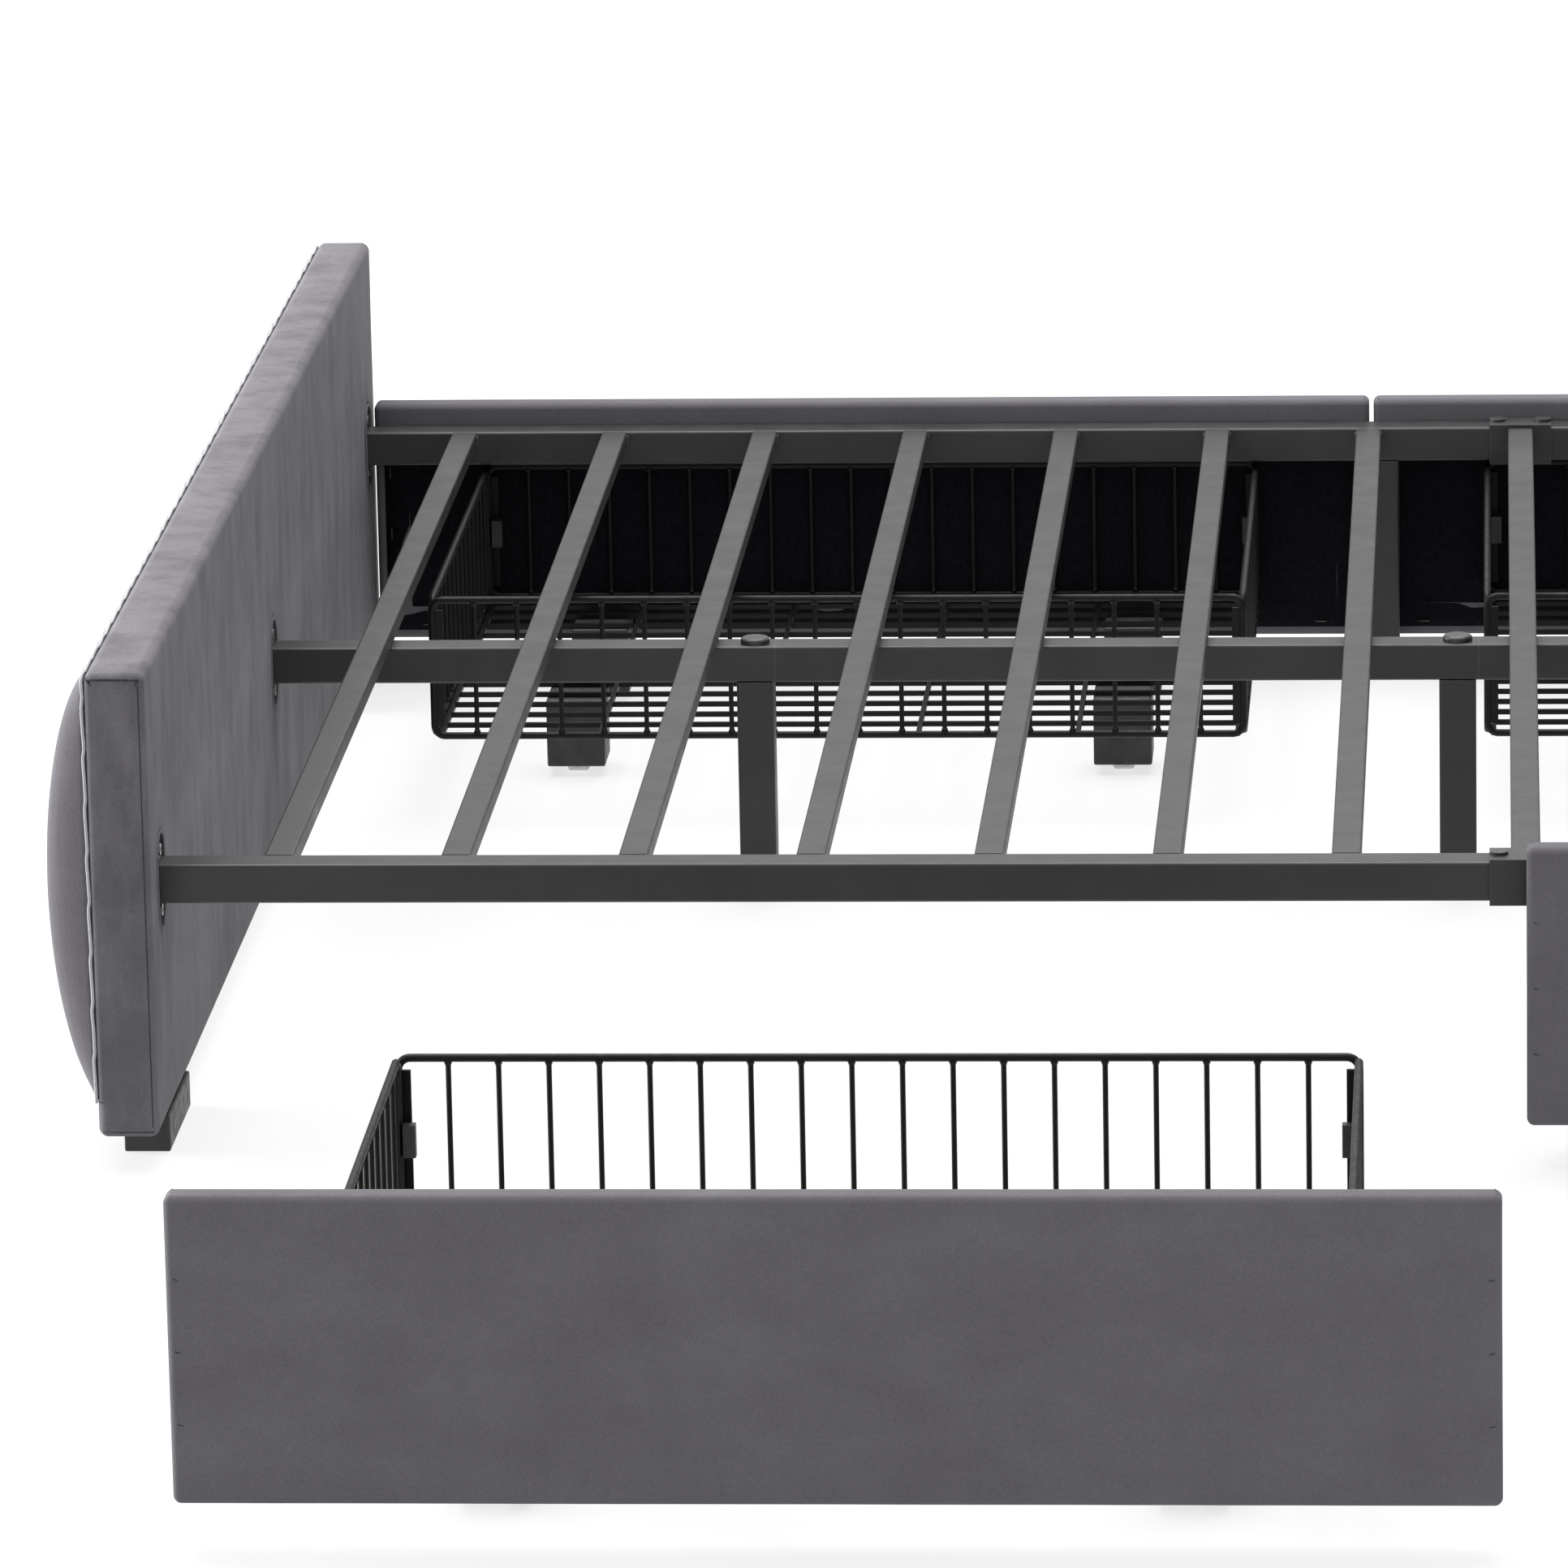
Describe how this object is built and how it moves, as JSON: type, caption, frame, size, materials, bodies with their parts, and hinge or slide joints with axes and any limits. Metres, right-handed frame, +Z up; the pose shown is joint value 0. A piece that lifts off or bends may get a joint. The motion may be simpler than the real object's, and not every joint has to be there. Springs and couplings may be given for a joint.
{
  "type": "storage bed",
  "caption": "Upholstered platform bed with a bolted steel slat frame, a channel-padded footboard and headboard, and wire basket drawers that roll out from under it.",
  "frame": {"origin": "floor level under the middle centre leg, on the bed's centreline", "axes": "+X from the foot to the head, +Y to the far side, +Z up"},
  "size_m": [2.2155, 2.504, 1.1],
  "materials": {
    "velvet": "grey velvet",
    "timber": "raw pine",
    "panel": "board with black lining",
    "steel": "powder coat",
    "wire": "black powder coat",
    "bolt": "blackened",
    "black_plastic": "moulded",
    "wheel": "moulded"
  },
  "bodies": {
    "bed": {"footboard_frame": "timber", "footboard_cover": "velvet", "footboard_pad": "velvet", "footboard_feet": "black_plastic", "headboard_frame": "timber", "headboard_cover": "velvet", "headboard_pad": "velvet", "headboard_feet": "black_plastic", "near_rail_foot": "steel", "near_rail_head": "steel", "far_rail_foot": "steel", "far_rail_head": "steel", "centre_rail_foot": "steel", "centre_rail_head": "steel", "rail_end_plates": "steel", "end_plate_bolts": "bolt", "rail_joint_sleeves": "steel", "joint_bolts": "bolt", "near_leg": "steel", "far_leg": "steel", "centre_legs": "steel", "leg_caps": "black_plastic", "leg_bolts": "bolt", "foot_slats": "steel", "head_slats": "steel"},
    "near_foot_drawer": {"near_foot_front_board": "panel", "near_foot_front_cover": "velvet", "near_foot_basket_walls": "wire", "near_foot_basket_floor": "wire", "near_foot_basket_clips": "black_plastic", "near_foot_casters": "black_plastic"},
    "near_foot_front_wheel_pair": {"near_foot_front_wheels": "wheel"},
    "near_foot_back_wheel_pair": {"near_foot_back_wheels": "wheel"},
    "near_head_drawer": {"near_head_front_board": "panel", "near_head_front_cover": "velvet", "near_head_basket_walls": "wire", "near_head_basket_floor": "wire", "near_head_basket_clips": "black_plastic", "near_head_casters": "black_plastic"},
    "near_head_front_wheel_pair": {"near_head_front_wheels": "wheel"},
    "near_head_back_wheel_pair": {"near_head_back_wheels": "wheel"},
    "far_foot_drawer": {"far_foot_front_board": "panel", "far_foot_front_cover": "velvet", "far_foot_basket_walls": "wire", "far_foot_basket_floor": "wire", "far_foot_basket_clips": "black_plastic", "far_foot_casters": "black_plastic"},
    "far_foot_front_wheel_pair": {"far_foot_front_wheels": "wheel"},
    "far_foot_back_wheel_pair": {"far_foot_back_wheels": "wheel"},
    "far_head_drawer": {"far_head_front_board": "panel", "far_head_front_cover": "velvet", "far_head_basket_walls": "wire", "far_head_basket_floor": "wire", "far_head_basket_clips": "black_plastic", "far_head_casters": "black_plastic"},
    "far_head_front_wheel_pair": {"far_head_front_wheels": "wheel"},
    "far_head_back_wheel_pair": {"far_head_back_wheels": "wheel"}
  },
  "joints": [
    {"name": "near_foot_drawer_roll", "type": "slide", "parent": "bed", "child": "near_foot_drawer", "axis": [0, 1, 0], "range_m": [0, 0.9]},
    {"name": "near_foot_front_wheels_spin", "type": "hinge", "parent": "near_foot_drawer", "child": "near_foot_front_wheel_pair", "pos_m": [-0.408, -1.5778, 0.022], "axis": [1, 0, 0], "range_deg": [-2344.9, 0]},
    {"name": "near_foot_back_wheels_spin", "type": "hinge", "parent": "near_foot_drawer", "child": "near_foot_back_wheel_pair", "pos_m": [-0.408, -1.3178, 0.022], "axis": [1, 0, 0], "range_deg": [-2344.9, 0]},
    {"name": "near_head_drawer_roll", "type": "slide", "parent": "bed", "child": "near_head_drawer", "axis": [0, -1, 0], "range_m": [0, 0.9]},
    {"name": "near_head_front_wheels_spin", "type": "hinge", "parent": "near_head_drawer", "child": "near_head_front_wheel_pair", "pos_m": [0.496, -0.6778, 0.022], "axis": [1, 0, 0], "range_deg": [0, 2344.9]},
    {"name": "near_head_back_wheels_spin", "type": "hinge", "parent": "near_head_drawer", "child": "near_head_back_wheel_pair", "pos_m": [0.496, -0.4178, 0.022], "axis": [1, 0, 0], "range_deg": [0, 2344.9]},
    {"name": "far_foot_drawer_roll", "type": "slide", "parent": "bed", "child": "far_foot_drawer", "axis": [0, 1, 0], "range_m": [0, 0.9]},
    {"name": "far_foot_front_wheels_spin", "type": "hinge", "parent": "far_foot_drawer", "child": "far_foot_front_wheel_pair", "pos_m": [-0.523, 0.6778, 0.022], "axis": [1, 0, 0], "range_deg": [-2344.9, 0]},
    {"name": "far_foot_back_wheels_spin", "type": "hinge", "parent": "far_foot_drawer", "child": "far_foot_back_wheel_pair", "pos_m": [-0.523, 0.4178, 0.022], "axis": [1, 0, 0], "range_deg": [-2344.9, 0]},
    {"name": "far_head_drawer_roll", "type": "slide", "parent": "bed", "child": "far_head_drawer", "axis": [0, 1, 0], "range_m": [0, 0.9]},
    {"name": "far_head_front_wheels_spin", "type": "hinge", "parent": "far_head_drawer", "child": "far_head_front_wheel_pair", "pos_m": [0.366, 0.6778, 0.022], "axis": [1, 0, 0], "range_deg": [-2344.9, 0]},
    {"name": "far_head_back_wheels_spin", "type": "hinge", "parent": "far_head_drawer", "child": "far_head_back_wheel_pair", "pos_m": [0.366, 0.4178, 0.022], "axis": [1, 0, 0], "range_deg": [-2344.9, 0]}
  ],
  "couplings": [
    {"joint": "near_foot_front_wheels_spin", "follows": "near_foot_drawer_roll", "rad_per_m": -45.455},
    {"joint": "near_foot_back_wheels_spin", "follows": "near_foot_drawer_roll", "rad_per_m": -45.455},
    {"joint": "near_head_front_wheels_spin", "follows": "near_head_drawer_roll", "rad_per_m": 45.455},
    {"joint": "near_head_back_wheels_spin", "follows": "near_head_drawer_roll", "rad_per_m": 45.455},
    {"joint": "far_foot_front_wheels_spin", "follows": "far_foot_drawer_roll", "rad_per_m": -45.455},
    {"joint": "far_foot_back_wheels_spin", "follows": "far_foot_drawer_roll", "rad_per_m": -45.455},
    {"joint": "far_head_front_wheels_spin", "follows": "far_head_drawer_roll", "rad_per_m": -45.455},
    {"joint": "far_head_back_wheels_spin", "follows": "far_head_drawer_roll", "rad_per_m": -45.455}
  ]
}
